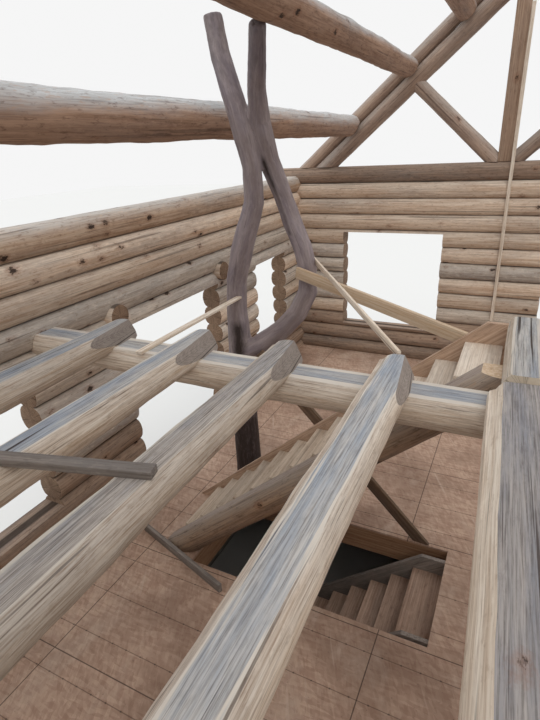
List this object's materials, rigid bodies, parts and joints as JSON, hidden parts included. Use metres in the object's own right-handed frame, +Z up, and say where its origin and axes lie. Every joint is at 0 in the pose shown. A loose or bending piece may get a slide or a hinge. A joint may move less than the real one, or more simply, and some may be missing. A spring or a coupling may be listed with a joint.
{
  "type": "log cabin",
  "caption": "Unroofed log cabin shell with notched log walls, gable trusses, purlins, a part loft of hewn joists, stair flights and a forked tree post on cellar walls.",
  "frame": {"origin": "middle of the cabin's plan on the ground that the foundation walls stand on", "axes": "+Z up, +Y along the cabin toward the far gable, +X to the right seen from the near gable"},
  "size_m": [7.88, 10.28, 8.5046],
  "materials": {
    "concrete": "matt",
    "floor_panel": "matt",
    "sawn_wood": "sawn",
    "hewn_log": "weathered",
    "tree_post": "weathered",
    "peeled_log": "peeled"
  },
  "bodies": {
    "root": {"crossed_log_tails": "peeled_log", "doorway_cross_logs": "peeled_log", "far_floor_deck": "floor_panel", "far_king_post": "peeled_log", "far_truss_rafters": "peeled_log", "far_truss_struts": "peeled_log", "far_wall_lower_logs": "peeled_log", "far_wall_upper_logs": "peeled_log", "far_wall_window_piers": "peeled_log", "floor_joists": "sawn_wood", "forked_tree_post": "tree_post", "foundation_end_walls": "concrete", "foundation_side_walls": "concrete", "king_post_lath": "sawn_wood", "landing_edge_beam": "hewn_log", "left_loft_joists": "hewn_log", "left_purlins": "peeled_log", "left_wall_lower_logs": "peeled_log", "left_wall_opening_piers": "peeled_log", "left_wall_upper_logs": "peeled_log", "loft_girders": "hewn_log", "loose_boards": "sawn_wood", "lower_flight_stringers": "sawn_wood", "lower_flight_treads": "sawn_wood", "near_floor_deck": "floor_panel", "near_king_post": "peeled_log", "near_truss_rafters": "peeled_log", "near_truss_struts": "peeled_log", "near_wall_lower_logs": "peeled_log", "near_wall_upper_logs": "peeled_log", "near_wall_window_piers": "peeled_log", "notched_corner_stacks": "peeled_log", "ridge_log": "peeled_log", "right_loft_joists": "hewn_log", "right_purlins": "peeled_log", "right_wall_lower_logs": "peeled_log", "right_wall_opening_piers": "peeled_log", "right_wall_upper_logs": "peeled_log", "stairwell_floor_deck": "floor_panel", "stairwell_headers": "sawn_wood", "tree_post_stays": "sawn_wood", "upper_flight_log_stringer": "peeled_log", "upper_flight_side_board": "sawn_wood", "upper_flight_treads": "sawn_wood"}
  },
  "joints": []
}
